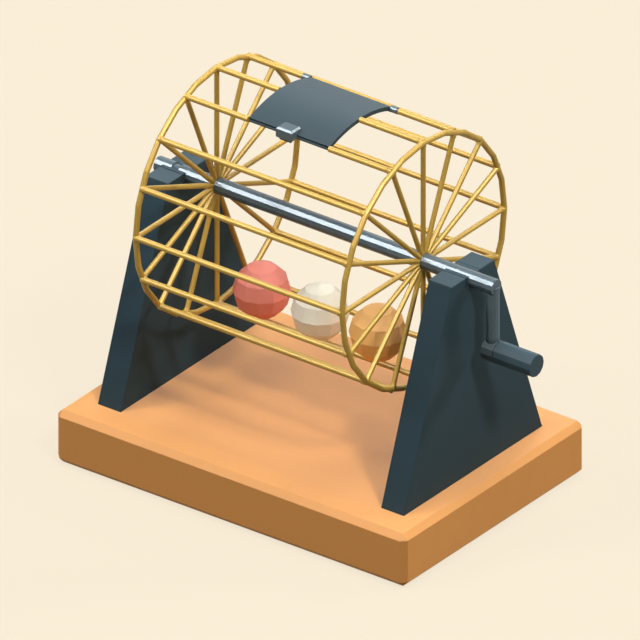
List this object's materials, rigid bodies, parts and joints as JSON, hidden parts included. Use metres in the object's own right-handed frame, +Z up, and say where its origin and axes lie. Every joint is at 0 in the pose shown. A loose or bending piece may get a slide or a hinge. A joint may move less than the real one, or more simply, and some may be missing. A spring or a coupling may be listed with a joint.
{
  "type": "bingo cage",
  "caption": "Hand cranked wire drum on a shaft between two uprights on a chamfered wooden base, with a hinged curved door and loose balls that tumble inside.",
  "frame": {"origin": "middle of the underside of the base, on the surface that it stands on", "axes": "+X along the drum's shaft towards the crank, -Y to the front where the door opens, +Z up"},
  "size_m": [0.3101, 0.1914, 0.2653],
  "materials": {
    "base_wood": "satin lacquered solid wood with a faint grain",
    "mat_rubber": "matt anti-slip mat",
    "upright_paint": "satin slate paint on board",
    "bearing_nylon": "slate grey nylon",
    "shaft_steel": "blued steel with flats",
    "arm_steel": "satin slate enamel on steel",
    "bright_steel": "bright zinc plated steel",
    "brass_wire": "bright drawn brass wire, brazed",
    "door_slate": "satin slate anodised sheet",
    "grip_plastic": "slate moulded plastic",
    "ball_red": "satin red paint on turned wood",
    "ball_ivory": "satin ivory paint on turned wood",
    "ball_orange": "satin orange paint on turned wood"
  },
  "bodies": {
    "stand": {"base_board": "base_wood", "base_mat": "mat_rubber", "upright_left": "upright_paint", "upright_right": "upright_paint", "bearing_left": "bearing_nylon", "bearing_right": "bearing_nylon", "upright_screw_left_front": "bright_steel", "upright_screw_left_back": "bright_steel", "upright_screw_right_front": "bright_steel", "upright_screw_right_back": "bright_steel"},
    "cage": {"drive_shaft": "shaft_steel", "hub_left": "brass_wire", "hub_right": "brass_wire", "hub_pin_left": "bright_steel", "hub_pin_right": "bright_steel", "spoke_star_left": "brass_wire", "spoke_star_right": "brass_wire", "end_ring_left": "brass_wire", "end_ring_right": "brass_wire", "bar_00_left": "brass_wire", "bar_00_right": "brass_wire", "bar_01_left": "brass_wire", "bar_01_right": "brass_wire", "bar_02": "brass_wire", "bar_03": "brass_wire", "bar_04": "brass_wire", "bar_05": "brass_wire", "bar_06": "brass_wire", "bar_07": "brass_wire", "bar_08": "brass_wire", "bar_09": "brass_wire", "bar_10": "brass_wire", "bar_11": "brass_wire", "bar_12": "brass_wire", "bar_13": "brass_wire", "bar_14": "brass_wire", "bar_15_left": "brass_wire", "bar_15_right": "brass_wire", "door_frame": "door_slate", "hinge_knuckle_left": "shaft_steel", "hinge_knuckle_right": "shaft_steel", "hinge_pin": "bright_steel", "crank_arm": "arm_steel", "crank_dowel": "bright_steel", "crank_pin": "bright_steel", "grip_clip": "bright_steel"},
    "door": {"door_plate": "door_slate", "catch_block": "door_slate", "catch_magnet": "bright_steel", "catch_rivet_left": "bright_steel", "catch_rivet_right": "bright_steel"},
    "grip": {"hand_grip": "grip_plastic"},
    "red_ball": {"ball_red": "ball_red"},
    "ivory_ball": {"ball_ivory": "ball_ivory"},
    "orange_ball": {"ball_orange": "ball_orange"}
  },
  "joints": [
    {"name": "cage_turn", "type": "hinge", "parent": "stand", "child": "cage", "pos_m": [0, 0, 0.1777], "axis": [1, 0, 0], "continuous": true},
    {"name": "door_swing", "type": "hinge", "parent": "cage", "child": "door", "pos_m": [0, 0.03253, 0.25623], "axis": [-1, 0, 0], "range_deg": [0, 135]},
    {"name": "grip_spin", "type": "hinge", "parent": "cage", "child": "grip", "pos_m": [0.14185, 0, 0.1315], "axis": [1, 0, 0], "continuous": true},
    {"name": "red_ball_tumble", "type": "hinge", "parent": "stand", "child": "red_ball", "pos_m": [-0.046, 0, 0.1777], "axis": [1, 0, 0], "range_deg": [-80, 80]},
    {"name": "ivory_ball_tumble", "type": "hinge", "parent": "stand", "child": "ivory_ball", "pos_m": [0, 0, 0.1777], "axis": [1, 0, 0], "range_deg": [-80, 80]},
    {"name": "orange_ball_tumble", "type": "hinge", "parent": "stand", "child": "orange_ball", "pos_m": [0.046, 0, 0.1777], "axis": [1, 0, 0], "range_deg": [-80, 80]}
  ]
}
